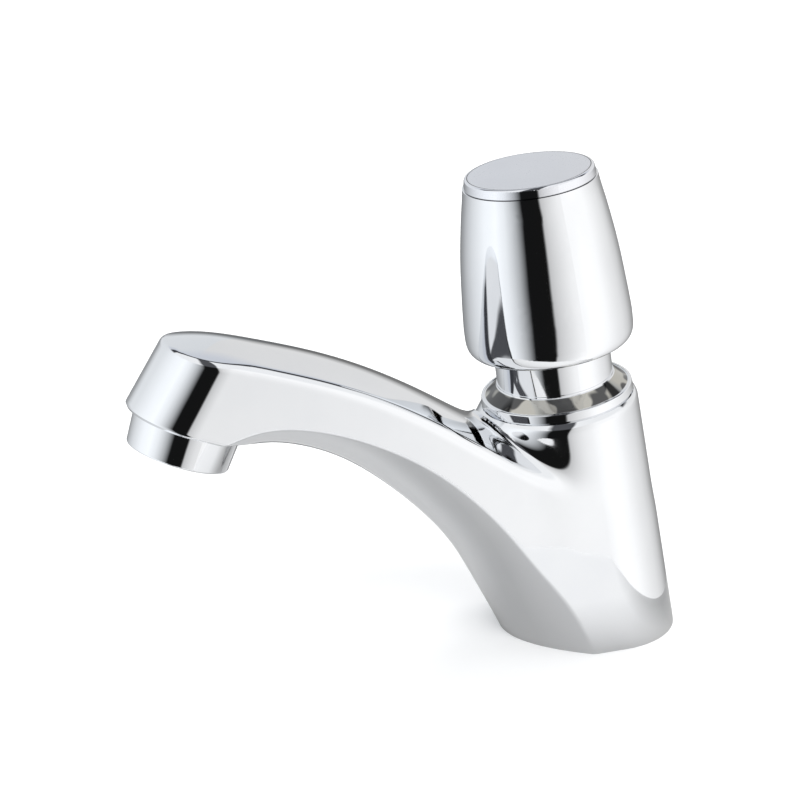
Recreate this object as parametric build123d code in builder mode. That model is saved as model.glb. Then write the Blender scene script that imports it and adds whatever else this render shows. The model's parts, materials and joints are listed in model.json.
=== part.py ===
from build123d import *
import math
import os

os.makedirs("parts", exist_ok=True)

# Stance of the tap: the round foot is centred on the origin and stands on the deck at height zero
head_lean_degrees = 9.0
head_axis_offset = 0.9
deck_thickness = 20.0

# Pillar, a slender cone that leans with the head
foot_radius = 21.9
shoulder_radius = 20.4
shoulder_height = 61.6
shoulder_step = 1.2
mouth_radius = 19.1

# Spout, seen from the side
reach = 109.0
outlet_height = 59.6
outlet_tilt_degrees = 19.7
spout_top_height = 87.6
nose_lean_degrees = 32.0
lip_rise = 8.0
lip_front = 15.3
lip_radius = 15.5
lip_cut_reach = 20.0
spout_edge_radius = 3.5
lip_edge_radius = 0.8
crease_radius = 1.2

# Tools that shape the spout are this much wider than it and reach this much past it
underside_half_width = 26.0
topside_half_width = 30.0
tool_depth = 46.0
underside_depth = 14.0
mouth_overcut = 0.6
shoulder_overcut = 0.25
overrun = 8.0
column_clearance = 0.15

# Underside of the spout from the nose to below the deck. Each row holds how far out the centre line
# is as a share of reach, how high it is as a share of outlet_height, how far the section leans in
# degrees, and how much it rises at its edges as a share of underside_half_width.
underside_shares = [
    (1.183, 0.82, 0, 0.69),
    (1.03, 0.936, 0, 0.71),
    (0.922, 0.997, 0, 0.73),
    (0.852, 1.023, 0, 0.73),
    (0.742, 0.995, 11, 0.70),
    (0.632, 0.906, 20, 0.70),
    (0.522, 0.759, 28, 0.755),
    (0.430, 0.601, 33, 0.74),
    (0.354, 0.433, 40, 0.71),
    (0.288, 0.226, 52, 0.76),
    (0.222, 0.0, 90, 0.84),
    (0.178, -0.167, 90, 0.84),
]

# Top of the spout, in the same way: height as a share of spout_top_height and fall at the edges as
# a share of topside_half_width.
topside_shares = [
    (1.247, 0.972, 0, 0.305),
    (1.017, 0.996, 0, 0.305),
    (0.907, 0.989, 6, 0.305),
    (0.797, 0.956, 14, 0.316),
    (0.678, 0.910, 20, 0.328),
    (0.559, 0.851, 25, 0.34),
    (0.430, 0.767, 28, 0.352),
    (0.311, 0.678, 29, 0.363),
    (0.173, 0.581, 30, 0.375),
    (0.036, 0.481, 30, 0.375),
]

# Clearances: running fit of a part that slides, fit of a part that is screwed or pressed home, and
# the gap left where a moving part rests against a fixed one
running_clearance = 0.05
fit_clearance = 0.05
seal_clearance = 0.03
rest_gap = 0.3

# Travel of the button
cap_travel = 8.0

# Bores down the head's axis, from the mouth to the inlet chamber. A rise is measured up the axis
# from the floor of the cartridge's bore, where no other floor is named.
mouth_bore = 13.15
cartridge_bore = 12.2
cartridge_floor = 24.0
gallery_radius = 13.4
gallery_rise = 9.0
gallery_width = 6.0
inlet_chamber_radius = 10.0
inlet_chamber_floor = 12.0
inlet_passage_radius = 7.5
waterway_radius = 4.5

# Bend of the waterway: how far out as a share of reach, how high as a share of outlet_height
waterway_bend_shares = (0.57, 1.02)

# Foot of the body: socket for the threaded shank and groove for the foot gasket
socket_depth = 10.0
socket_clearance = 0.07
gasket_groove_inner = 13.2
gasket_groove_outer = 19.3
gasket_thickness = 1.8
gasket_play = 0.2

# Threaded shank below the deck, sized by the major diameter of a half-inch pipe thread
shank_radius = 10.48
shank_bore = 7.0
shank_length = 52.0
shank_gap = 0.5
relief_radius = 9.6
relief_length = 1.5
relief_drop = 36.5
thread_chamfer = 0.8
clamp_gasket_thickness = 3.0
clamp_gasket_radius = 18.0
clamp_washer_thickness = 2.0
clamp_washer_radius = 17.5
washer_bore_play = 0.25
nut_across_flats = 30.0
nut_height = 10.0
nut_clearance = 0.02
filter_length = 12.0
filter_wall = 1.0
filter_slot_width = 1.2
filter_slots = 6

# Bezel ring between the body and the guide sleeve
bezel_rim_radius = 18.8
bezel_rim_height = 2.5
bezel_rim_width = 1.0
bezel_floor_radius = 16.7
bezel_floor_rise = 0.6
bezel_collar_radius = 14.6
bezel_collar_height = 5.5
bezel_edge_radius = 0.35

# Guide sleeve that the button slides over
sleeve_radius = 14.4
sleeve_overlap = 18.5
sleeve_floor_thickness = 4.0
sleeve_edge_radius = 0.8
timing_chamber_radius = 10.4
spring_pocket_radius = 12.4
spring_pocket_depth = 14.0
spring_plate_thickness = 2.5
mouth_seal_rise = 9.0
seal_width = 1.6
seal_depth = 1.5
seal_play = 0.1

# Cartridge that carries the valve
cartridge_inner_radius = 9.2
window_radius = 7.0
window_sill = 1.0
window_rise = 0.5
window_height = 4.0
window_width = 4.0
windows = 6
bush_radius = 8.5
bush_rise = 1.0
bush_length = 6.0
lower_seal_rise = 2.5
seat_rise = 6.0
seat_bore = 6.0
seat_lip_width = 1.0
seat_lip_height = 0.5
gland_seal_width = 1.8
gland_seal_depth = 1.6

# Spindle and what rides on it
spindle_radius = 4.0
spindle_tip_radius = 2.5
spindle_tip_reach = 0.7
valve_washer_radius = 7.8
valve_washer_thickness = 2.6
valve_disc_radius = 8.3
valve_disc_floor = 2.0
valve_disc_rim = 1.4
washer_nut_flats = 8.0
washer_nut_height = 3.0
piston_collar_radius = 5.5
piston_collar_thickness = 1.2
piston_drop = 12.0
piston_radius = 10.1
piston_height = 6.0
piston_seal_radius = 10.35
piston_seal_height = 2.4
piston_groove_radius = 8.6
bleed_radius = 0.6
bleed_offset = 6.6
clip_groove_radius = 3.3
clip_thickness = 0.8
clip_radius = 6.2

# Push cap, from its lip to the lid seam: each row holds how high it is as a share of cap_height and
# how wide it is as a share of cap_radius
cap_lip = 77.5
cap_height = 41.4
cap_radius = 20.8
cap_profile_shares = [
    (0.0, 0.942),
    (0.013, 0.968),
    (0.041, 0.991),
    (0.085, 0.999),
    (0.160, 0.997),
    (0.249, 0.985),
    (0.400, 0.960),
    (0.563, 0.927),
    (0.720, 0.883),
    (0.878, 0.829),
    (0.965, 0.798),
    (1.0, 0.790),
]
cap_wall = 1.6
cap_web = 4.0
cap_boss_radius = 7.0
cap_boss_length = 8.4
lid_recess_radius = 12.9
lid_recess_depth = 1.2
lid_thickness = 2.4
lid_top_radius = 15.7
lid_seam_radius = 16.2
lid_edge_radius = 0.7
lid_gap = 0.1
screw_radius = 2.0
screw_length = 9.0
screw_head_radius = 3.8
screw_head_height = 2.2
screw_key_flats = 3.0
screw_key_depth = 1.3
screw_thread_clearance = 0.05

# Return spring and the plate above it
spring_retainer_radius = 11.4
spring_retainer_thickness = 2.0
spring_mean_radius = 9.5
spring_wire_radius = 0.7
spring_seat_gap = 0.1

# Outlet: the screwed housing, its gasket and the stack inside it
outlet_bore = 11.0
outlet_bore_depth = 9.5
outlet_chamber_radius = 9.0
outlet_chamber_depth = 5.0
ring_radius = 12.3
ring_top_radius = 12.9
ring_edge_radius = 0.5
housing_bore = 9.9
housing_lip_radius = 8.8
housing_lip_thickness = 1.2
outlet_gasket_inner = 8.6
grid_thickness = 2.0
grid_cell = 2.0
grid_pitch = 2.8
mixer_height = 5.0
mixer_wall = 1.2
mixer_floor = 1.2
mixer_jet_radius = 0.7
mixer_jet_circle = 5.0
mixer_jets = 8
screen_height = 3.0
screen_wall = 0.8
screen_hole_radius = 1.0
screen_hole_circle = 4.4
screen_holes = 8
stack_gap = 0.1

head_sine = math.sin(math.radians(head_lean_degrees))
head_cosine = math.cos(math.radians(head_lean_degrees))
head_foot = Vector(0, -head_axis_offset, 0)
head_direction = Vector(0, -head_sine, head_cosine)
head_section = Plane(origin=head_foot, x_dir=(1, 0, 0), z_dir=(0, -head_cosine, -head_sine))

outlet_sine = math.sin(math.radians(outlet_tilt_degrees))
outlet_cosine = math.cos(math.radians(outlet_tilt_degrees))
outlet_direction = Vector(0, outlet_sine, outlet_cosine)
outlet_forward = Vector(0, -outlet_cosine, outlet_sine)
outlet_point = Vector(0, -reach, outlet_height)
lip_point = outlet_point + outlet_direction * lip_rise


def head_plane(height):
    """Plane square to the head's axis, at a height measured along it from the deck."""
    return Plane(origin=head_foot + head_direction * height, x_dir=(1, 0, 0), z_dir=head_direction)


mouth_height = shoulder_height + shoulder_step

# Heights up the head's axis, from the cartridge's floor to the top of the sleeve
gallery_low = cartridge_floor + gallery_rise
gallery_high = gallery_low + gallery_width
window_floor = gallery_low + window_sill
bush_floor = gallery_high + bush_rise
mouth_bore_floor = bush_floor + bush_length
seat_height = cartridge_floor + seat_rise
lower_seal_height = cartridge_floor + lower_seal_rise
upper_seal_height = bush_floor + (bush_length - seal_width) / 2 - seal_play
gland_seal_height = bush_floor + (bush_length - gland_seal_width) / 2 - seal_play
mouth_seal_height = mouth_bore_floor + mouth_seal_rise
sleeve_top = cap_lip + sleeve_overlap
spring_pocket_floor = sleeve_top - spring_pocket_depth
piston_floor = spring_pocket_floor - piston_drop

shoulder_rise = shoulder_height * head_cosine
shoulder_shift = head_axis_offset + shoulder_height * head_sine
draft = (foot_radius - shoulder_radius) / shoulder_rise
lip_front_point = lip_point + outlet_forward * lip_front
nose_slope = math.tan(math.radians(nose_lean_degrees))
envelope_height = spout_top_height + overrun


def pillar_circle(height):
    """How far out the pillar's centre is at a height above the deck, and its radius there."""
    portion = height / shoulder_rise
    return -shoulder_shift * portion, foot_radius - (foot_radius - shoulder_radius) * portion


def nose_circle(height):
    """How far out the nose's centre is at a height above the deck, and its radius there."""
    radius = lip_radius - draft * (height - lip_point.Z)
    front = lip_front_point.Y + nose_slope * (height - lip_front_point.Z)
    return front + radius, radius


def station_plane(out_share, up_share, tall, lean_degrees):
    """Plane of one cross-section of the spout, leaning by the given angle."""
    lean = math.radians(lean_degrees)
    return Plane(
        origin=(0, -out_share * reach, up_share * tall),
        x_dir=(1, 0, 0),
        z_dir=(0, -math.cos(lean), math.sin(lean)),
    )


# Plan of the pillar and the nose with straight flanks between them, drawn up from the deck
with BuildPart() as flanks:
    for level in (0, envelope_height):
        pillar_y, pillar_r = pillar_circle(level)
        nose_y, nose_r = nose_circle(level)
        with BuildSketch(Plane.XY.offset(level)):
            with Locations((0, pillar_y)):
                Circle(pillar_r)
            with Locations((0, nose_y)):
                Circle(nose_r)
            make_hull()
    loft(ruled=True)

with BuildPart() as underside:
    for out_share, up_share, lean_degrees, rise_share in underside_shares:
        edge_rise = rise_share * underside_half_width
        with BuildSketch(station_plane(out_share, up_share, outlet_height, lean_degrees)):
            with BuildLine():
                Bezier(
                    (-underside_half_width, edge_rise),
                    (0, -edge_rise),
                    (underside_half_width, edge_rise),
                )
                Polyline(
                    (underside_half_width, edge_rise),
                    (underside_half_width, -underside_depth),
                    (-underside_half_width, -underside_depth),
                    (-underside_half_width, edge_rise),
                )
            make_face()
    loft()

with BuildPart() as topside:
    for out_share, up_share, lean_degrees, fall_share in topside_shares:
        edge_fall = fall_share * topside_half_width
        with BuildSketch(station_plane(out_share, up_share, spout_top_height, lean_degrees)):
            with BuildLine():
                Bezier(
                    (-topside_half_width, -edge_fall),
                    (0, edge_fall),
                    (topside_half_width, -edge_fall),
                )
                Polyline(
                    (topside_half_width, -edge_fall),
                    (topside_half_width, tool_depth),
                    (-topside_half_width, tool_depth),
                    (-topside_half_width, -edge_fall),
                )
            make_face()
    loft()

with BuildPart() as column:
    for level in (-overrun, envelope_height + 3 * overrun):
        pillar_y, pillar_r = pillar_circle(level)
        with BuildSketch(Plane.XY.offset(level)):
            with Locations((0, pillar_y)):
                Circle(pillar_r + column_clearance)
    loft(ruled=True)

lip_plane = Plane(origin=lip_point, x_dir=(1, 0, 0), z_dir=outlet_direction)
outlet_section = Plane(
    origin=outlet_point, x_dir=(1, 0, 0), z_dir=(0, -outlet_cosine, outlet_sine)
)


def outlet_plane(rise):
    """Plane square to the outlet's axis, at a rise measured along it from the ring's lower face."""
    return Plane(
        origin=outlet_point + outlet_direction * rise, x_dir=(1, 0, 0), z_dir=outlet_direction
    )


def turned(section_plane, outline):
    """Solid of revolution about the plane's own y axis, from an outline of (radius, height) points."""
    with BuildPart() as piece:
        with BuildSketch(section_plane):
            with BuildLine():
                Polyline(*outline, close=True)
            make_face()
        revolve(axis=Axis(section_plane.origin, section_plane.y_dir))
    return piece


def ring(section_plane, inner, outer, low, high):
    """Plain ring, or a disc where the inner radius is zero."""
    return turned(section_plane, [(inner, low), (outer, low), (outer, high), (inner, high)])


# The spout with the pillar, shaped as one block by its flanks, its underside and its top. This is
# the form that takes the most skill: a goose-neck spout with a crowned top and a hollowed
# underside that runs down into a leaning pillar.
with BuildPart() as spout_block:
    add(flanks.part)
    add(underside.part, mode=Mode.SUBTRACT)
    add(topside.part - column.part, mode=Mode.SUBTRACT)
    with BuildSketch(head_plane(mouth_height)):
        Circle(shoulder_radius + mouth_overcut)
    extrude(amount=3 * tool_depth, mode=Mode.SUBTRACT)
    with BuildSketch(lip_plane):
        with Locations((0, lip_cut_reach)):
            Rectangle(
                2 * underside_half_width, 2 * tool_depth, align=(Align.CENTER, Align.MAX)
            )
    extrude(amount=-tool_depth, mode=Mode.SUBTRACT)

spout_solid = spout_block.part.solids().sort_by(SortBy.VOLUME)[-1]


# Bores of the casting: the stepped bore down the head's axis, the inlet, the waterway in two legs
# through the spout, and the outlet
gallery_middle = (gallery_low + gallery_high) / 2
shank_top = socket_depth - shank_gap
chamber_floor_point = head_foot + head_direction * inlet_chamber_floor
head_bore = turned(
    head_section,
    [
        (0, inlet_chamber_floor),
        (inlet_chamber_radius, inlet_chamber_floor),
        (inlet_chamber_radius, cartridge_floor),
        (cartridge_bore, cartridge_floor),
        (cartridge_bore, gallery_low),
        (gallery_radius, gallery_low),
        (gallery_radius, gallery_high),
        (cartridge_bore, gallery_high),
        (cartridge_bore, mouth_bore_floor),
        (mouth_bore, mouth_bore_floor),
        (mouth_bore, mouth_height + overrun),
        (0, mouth_height + overrun),
    ],
)
outlet_bores = turned(
    outlet_section,
    [
        (0, lip_rise - overrun),
        (outlet_bore, lip_rise - overrun),
        (outlet_bore, lip_rise + outlet_bore_depth),
        (outlet_chamber_radius, lip_rise + outlet_bore_depth),
        (outlet_chamber_radius, lip_rise + outlet_bore_depth + outlet_chamber_depth),
        (0, lip_rise + outlet_bore_depth + outlet_chamber_depth),
    ],
)
foot_bores = turned(
    Plane.XZ,
    [
        (0, -overrun),
        (shank_radius + socket_clearance, -overrun),
        (shank_radius + socket_clearance, socket_depth),
        (inlet_passage_radius, socket_depth),
        (inlet_passage_radius, chamber_floor_point.Z + socket_clearance),
        (0, chamber_floor_point.Z + socket_clearance),
    ],
)
foot_groove = ring(
    Plane.XZ, gasket_groove_inner, gasket_groove_outer, -overrun, gasket_thickness + fit_clearance
)

gallery_start = (
    head_foot
    + head_direction * gallery_middle
    + Vector(0, -head_cosine, -head_sine) * inlet_chamber_radius
)
outlet_end = outlet_point + outlet_direction * (
    lip_rise + outlet_bore_depth + outlet_chamber_depth / 2
)
waterway_bend = Vector(
    0, -waterway_bend_shares[0] * reach, waterway_bend_shares[1] * outlet_height
)
with BuildPart() as waterway:
    for end in (gallery_start, outlet_end):
        with BuildSketch(Plane(origin=waterway_bend, x_dir=(1, 0, 0), z_dir=end - waterway_bend)):
            Circle(waterway_radius)
        extrude(amount=(end - waterway_bend).length)
    with Locations(waterway_bend):
        Sphere(waterway_radius)

# Shoulder of the mouth, chamfered down to the pillar
shoulder_slope = shoulder_step / (shoulder_radius - mouth_radius)
shoulder_limit = shoulder_radius + shoulder_overcut
shoulder_cut = turned(
    head_section,
    [
        (mouth_radius, mouth_height),
        (shoulder_limit, mouth_height - (shoulder_limit - mouth_radius) * shoulder_slope),
        (shoulder_limit, mouth_height + shoulder_overcut),
        (mouth_radius, mouth_height + shoulder_overcut),
    ],
)

# Casting with its edges eased, then bored
with BuildPart() as body_casting:
    add(spout_solid)
    top_edges = body_casting.edges().filter_by(
        lambda edge: edge.center().Z > lip_front_point.Z
        and edge.bounding_box().min.Z > lip_front_point.Z
        and edge.bounding_box().max.X > lip_radius / 2
        and edge.bounding_box().min.X < -lip_radius / 2
    )
    fillet(top_edges, spout_edge_radius)
    crease_edges = body_casting.edges().filter_by(
        lambda edge: edge.length > reach and edge.bounding_box().min.Z < gasket_thickness
    )
    fillet(crease_edges, crease_radius)
    lip_edges = body_casting.edges().filter_by(
        lambda edge: abs((edge.center() - lip_point).dot(outlet_direction)) < overrun / 2
        and edge.center().Y < -reach
        and edge.bounding_box().max.X > lip_radius / 2
        and edge.bounding_box().min.X < -lip_radius / 2
    )
    fillet(lip_edges, lip_edge_radius)
    for tool in (shoulder_cut, head_bore, outlet_bores, foot_bores, foot_groove, waterway):
        add(tool.part, mode=Mode.SUBTRACT)

# Bezel ring, a dished ring screwed down on the mouth round the sleeve
bezel_rim_top = mouth_height + bezel_rim_height
bezel_top = mouth_height + bezel_collar_height
with BuildPart() as bezel_ring:
    add(
        turned(
            head_section,
            [
                (mouth_bore + fit_clearance, mouth_height),
                (mouth_radius, mouth_height),
                (bezel_rim_radius, bezel_rim_top),
                (bezel_rim_radius - bezel_rim_width, bezel_rim_top),
                (bezel_rim_radius - bezel_rim_width, mouth_height + bezel_floor_rise),
                (bezel_floor_radius, mouth_height + bezel_floor_rise),
                (bezel_collar_radius, bezel_top),
                (mouth_bore + fit_clearance, bezel_top),
            ],
        ).part
    )
    rim_edges = bezel_ring.edges().filter_by(
        lambda edge: abs((edge.center() - head_foot).dot(head_direction) - bezel_rim_top)
        < bezel_edge_radius
        and edge.length > math.pi * (bezel_floor_radius + bezel_rim_width / 2)
    )
    fillet(rim_edges, bezel_edge_radius)

# Guide sleeve: spigot in the mouth, timing chamber inside and a pocket for the spring on top
spigot_radius = mouth_bore - fit_clearance
timing_floor = mouth_bore_floor + sleeve_floor_thickness
seal_floor_radius = mouth_bore - seal_depth
with BuildPart() as guide_sleeve:
    add(
        turned(
            head_section,
            [
                (spindle_radius + rest_gap, mouth_bore_floor),
                (spigot_radius, mouth_bore_floor),
                (spigot_radius, mouth_seal_height),
                (seal_floor_radius, mouth_seal_height),
                (seal_floor_radius, mouth_seal_height + seal_width + 2 * seal_play),
                (spigot_radius, mouth_seal_height + seal_width + 2 * seal_play),
                (spigot_radius, bezel_top),
                (sleeve_radius, bezel_top),
                (sleeve_radius, sleeve_top),
                (spring_pocket_radius, sleeve_top),
                (spring_pocket_radius, spring_pocket_floor),
                (timing_chamber_radius, spring_pocket_floor),
                (timing_chamber_radius, timing_floor),
                (spindle_radius + rest_gap, timing_floor),
            ],
        ).part
    )
    sleeve_edges = guide_sleeve.edges().filter_by(
        lambda edge: abs((edge.center() - head_foot).dot(head_direction) - sleeve_top)
        < sleeve_edge_radius
        and edge.length > math.pi * (sleeve_radius + spring_pocket_radius)
    )
    fillet(sleeve_edges, sleeve_edge_radius)
mouth_seal = ring(
    head_section,
    seal_floor_radius + seal_clearance,
    mouth_bore - seal_clearance,
    mouth_seal_height + seal_play,
    mouth_seal_height + seal_play + seal_width,
)
spring_plate = ring(
    head_section,
    spindle_radius + running_clearance,
    spring_pocket_radius - fit_clearance,
    spring_pocket_floor,
    spring_pocket_floor + spring_plate_thickness,
)

# Cartridge: housing with windows to the gallery, two seals, the seat, and the bush for the spindle
housing_radius = cartridge_bore - fit_clearance
seal_root_radius = cartridge_bore - seal_depth
with BuildPart() as cartridge_housing:
    add(
        turned(
            head_section,
            [
                (cartridge_inner_radius, cartridge_floor),
                (housing_radius, cartridge_floor),
                (housing_radius, lower_seal_height),
                (seal_root_radius, lower_seal_height),
                (seal_root_radius, lower_seal_height + seal_width + 2 * seal_play),
                (housing_radius, lower_seal_height + seal_width + 2 * seal_play),
                (housing_radius, upper_seal_height),
                (seal_root_radius, upper_seal_height),
                (seal_root_radius, upper_seal_height + seal_width + 2 * seal_play),
                (housing_radius, upper_seal_height + seal_width + 2 * seal_play),
                (housing_radius, mouth_bore_floor),
                (bush_radius, mouth_bore_floor),
                (bush_radius, bush_floor),
                (window_radius, bush_floor),
                (window_radius, window_floor),
                (cartridge_inner_radius, window_floor),
            ],
        ).part
    )
    with BuildSketch(head_plane(window_floor + window_rise)):
        with PolarLocations(cartridge_inner_radius, windows):
            Rectangle(cartridge_inner_radius, window_width)
    extrude(amount=window_height, mode=Mode.SUBTRACT)


def cartridge_seal(height):
    """Seal ring in one of the housing's grooves."""
    return ring(
        head_section,
        seal_root_radius + seal_clearance,
        cartridge_bore - seal_clearance,
        height + seal_play,
        height + seal_play + seal_width,
    )


cartridge_seal_lower = cartridge_seal(lower_seal_height)
cartridge_seal_upper = cartridge_seal(upper_seal_height)
valve_seat = turned(
    head_section,
    [
        (seat_bore, seat_height),
        (seat_bore + seat_lip_width, seat_height),
        (seat_bore + 2 * seat_lip_width, seat_height + seat_lip_height),
        (cartridge_inner_radius - fit_clearance, seat_height + seat_lip_height),
        (cartridge_inner_radius - fit_clearance, window_floor),
        (seat_bore, window_floor),
    ],
)
gland_groove_radius = spindle_radius + running_clearance + gland_seal_depth
spindle_bush = turned(
    head_section,
    [
        (spindle_radius + running_clearance, bush_floor),
        (bush_radius - fit_clearance, bush_floor),
        (bush_radius - fit_clearance, mouth_bore_floor),
        (spindle_radius + running_clearance, mouth_bore_floor),
        (spindle_radius + running_clearance, gland_seal_height + gland_seal_width + 2 * seal_play),
        (gland_groove_radius, gland_seal_height + gland_seal_width + 2 * seal_play),
        (gland_groove_radius, gland_seal_height),
        (spindle_radius + running_clearance, gland_seal_height),
    ],
)
gland_seal = ring(
    head_section,
    spindle_radius + seal_clearance,
    gland_groove_radius - seal_clearance,
    gland_seal_height + seal_play,
    gland_seal_height + seal_play + gland_seal_width,
)

# Spindle: thin tip for the valve, collar under the timing piston, clip groove and a threaded top
valve_washer_top = seat_height - rest_gap
valve_washer_low = valve_washer_top - valve_washer_thickness
valve_disc_low = valve_washer_low - valve_disc_floor
spindle_tip = valve_disc_low - washer_nut_height - spindle_tip_reach
collar_low = piston_floor - piston_collar_thickness
piston_top = piston_floor + piston_height
lid_seam = cap_lip + cap_height
web_low = lid_seam - cap_web
boss_low = web_low - cap_boss_length
screw_seat = lid_seam - lid_recess_depth - screw_head_height
screw_tip = screw_seat - screw_length
with BuildPart() as spindle:
    add(
        turned(
            head_section,
            [
                (0, spindle_tip),
                (spindle_tip_radius, spindle_tip),
                (spindle_tip_radius, valve_washer_top),
                (spindle_radius, valve_washer_top),
                (spindle_radius, collar_low),
                (piston_collar_radius, collar_low),
                (piston_collar_radius, piston_floor),
                (spindle_radius, piston_floor),
                (spindle_radius, piston_top),
                (clip_groove_radius, piston_top),
                (clip_groove_radius, piston_top + clip_thickness),
                (spindle_radius, piston_top + clip_thickness),
                (spindle_radius, web_low),
                (0, web_low),
            ],
        ).part
    )
    with BuildSketch(head_plane(web_low)):
        Circle(screw_radius + screw_thread_clearance)
    extrude(amount=-(web_low - screw_tip + rest_gap), mode=Mode.SUBTRACT)

valve_washer = ring(
    head_section,
    spindle_tip_radius + fit_clearance,
    valve_washer_radius,
    valve_washer_low,
    valve_washer_top,
)
valve_disc = turned(
    head_section,
    [
        (spindle_tip_radius + fit_clearance, valve_disc_low),
        (valve_disc_radius, valve_disc_low),
        (valve_disc_radius, valve_washer_low + valve_disc_rim),
        (valve_washer_radius + fit_clearance, valve_washer_low + valve_disc_rim),
        (valve_washer_radius + fit_clearance, valve_washer_low),
        (spindle_tip_radius + fit_clearance, valve_washer_low),
    ],
)
with BuildPart() as washer_nut:
    with BuildSketch(head_plane(valve_disc_low)):
        RegularPolygon(washer_nut_flats / 2, 6, major_radius=False)
        Circle(spindle_tip_radius + fit_clearance, mode=Mode.SUBTRACT)
    extrude(amount=-washer_nut_height)

# Timing piston with its cup seal, held down by a clip on the spindle
seal_shelf = piston_floor + (piston_height - piston_seal_height) / 2
with BuildPart() as timer_piston:
    add(
        turned(
            head_section,
            [
                (spindle_radius + fit_clearance, piston_floor),
                (piston_radius, piston_floor),
                (piston_radius, seal_shelf),
                (piston_groove_radius, seal_shelf),
                (piston_groove_radius, seal_shelf + piston_seal_height),
                (piston_radius, seal_shelf + piston_seal_height),
                (piston_radius, piston_top),
                (spindle_radius + fit_clearance, piston_top),
            ],
        ).part
    )
    with BuildSketch(head_plane(piston_floor)):
        with Locations((bleed_offset, 0)):
            Circle(bleed_radius)
    extrude(amount=piston_height, mode=Mode.SUBTRACT)
piston_cup_seal = ring(
    head_section,
    piston_groove_radius + fit_clearance,
    piston_seal_radius,
    seal_shelf + fit_clearance,
    seal_shelf + piston_seal_height - fit_clearance,
)
piston_clip = ring(
    head_section,
    clip_groove_radius + fit_clearance,
    clip_radius,
    piston_top + fit_clearance,
    piston_top + clip_thickness - fit_clearance,
)

# Return spring between the plate on the sleeve and the retainer under the cap's boss
spring_low = spring_pocket_floor + spring_plate_thickness + spring_seat_gap
spring_high = boss_low - spring_retainer_thickness - spring_seat_gap
return_spring = ring(
    head_section,
    spring_mean_radius - spring_wire_radius,
    spring_mean_radius + spring_wire_radius,
    spring_low,
    spring_high,
)
spring_retainer = ring(
    head_section,
    spindle_radius + fit_clearance,
    spring_retainer_radius,
    boss_low - spring_retainer_thickness,
    boss_low,
)

# Push cap: a thin bell whose wall follows the outside, with a web and a boss on the spindle
outer_points = [
    (wide * cap_radius, cap_lip + tall * cap_height) for tall, wide in cap_profile_shares
]
inner_points = [
    (wide * cap_radius - cap_wall, cap_lip + tall * cap_height)
    for tall, wide in cap_profile_shares
    if cap_lip + tall * cap_height < web_low - cap_wall
]
with BuildPart() as push_cap:
    with BuildSketch(head_section):
        with BuildLine():
            Spline(*outer_points[:4])
            Spline(*outer_points[3:])
            Polyline(
                outer_points[-1],
                (lid_recess_radius + fit_clearance, lid_seam),
                (lid_recess_radius + fit_clearance, lid_seam - lid_recess_depth),
                (screw_head_radius + fit_clearance, lid_seam - lid_recess_depth),
                (screw_head_radius + fit_clearance, screw_seat),
                (screw_radius + screw_thread_clearance, screw_seat),
                (screw_radius + screw_thread_clearance, web_low),
                (spindle_radius + fit_clearance, web_low),
                (spindle_radius + fit_clearance, boss_low),
                (cap_boss_radius, boss_low),
                (cap_boss_radius, web_low),
                (inner_points[-1][0], web_low),
                inner_points[-1],
            )
            Spline(*inner_points[::-1])
            Line(inner_points[0], outer_points[0])
        make_face()
    revolve(axis=Axis(head_foot, head_direction))

cap_screw_head = screw_seat + screw_head_height
with BuildPart() as cap_screw:
    add(
        turned(
            head_section,
            [
                (0, screw_tip),
                (screw_radius, screw_tip),
                (screw_radius, screw_seat),
                (screw_head_radius, screw_seat),
                (screw_head_radius, cap_screw_head - fit_clearance),
                (0, cap_screw_head - fit_clearance),
            ],
        ).part
    )
    with BuildSketch(head_plane(cap_screw_head)):
        RegularPolygon(screw_key_flats / 2, 6, major_radius=False)
    extrude(amount=-screw_key_depth, mode=Mode.SUBTRACT)

with BuildPart() as cap_disc:
    add(
        turned(
            head_section,
            [
                (0, lid_seam - lid_recess_depth + fit_clearance),
                (lid_recess_radius, lid_seam - lid_recess_depth + fit_clearance),
                (lid_recess_radius, lid_seam),
                (lid_seam_radius - lid_gap, lid_seam),
                (lid_top_radius, lid_seam + lid_thickness),
                (0, lid_seam + lid_thickness),
            ],
        ).part
    )
    disc_edges = cap_disc.edges().filter_by(
        lambda edge: abs((edge.center() - head_foot).dot(head_direction) - lid_seam - lid_thickness)
        < lid_edge_radius
    )
    fillet(disc_edges, lid_edge_radius)

# Outlet: housing screwed into the spout, gasket above it, and grid, mixer and screen inside it
housing_top = lip_rise * 2
spigot_outer = outlet_bore - fit_clearance
with BuildPart() as aerator_housing:
    add(
        turned(
            outlet_section,
            [
                (housing_lip_radius, 0),
                (ring_radius, 0),
                (ring_top_radius, lip_rise),
                (spigot_outer, lip_rise),
                (spigot_outer, housing_top),
                (housing_bore, housing_top),
                (housing_bore, housing_lip_thickness),
                (housing_lip_radius, housing_lip_thickness),
            ],
        ).part
    )
    ring_edges = aerator_housing.edges().filter_by(
        lambda edge: abs((edge.center() - outlet_point).dot(outlet_direction)) < ring_edge_radius
        and edge.length > math.pi * (ring_radius + housing_bore)
    )
    fillet(ring_edges, ring_edge_radius)
aerator_gasket = ring(
    outlet_section,
    outlet_gasket_inner,
    spigot_outer,
    housing_top,
    lip_rise + outlet_bore_depth,
)
insert_radius = housing_bore - fit_clearance
grid_low = housing_lip_thickness
mixer_low = grid_low + grid_thickness + stack_gap
screen_low = mixer_low + mixer_height + stack_gap
with BuildPart() as outlet_grid:
    with BuildSketch(outlet_plane(grid_low)):
        Circle(insert_radius)
        with GridLocations(grid_pitch, grid_pitch, 5, 5):
            Rectangle(grid_cell, grid_cell, mode=Mode.SUBTRACT)
    extrude(amount=grid_thickness)
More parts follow.
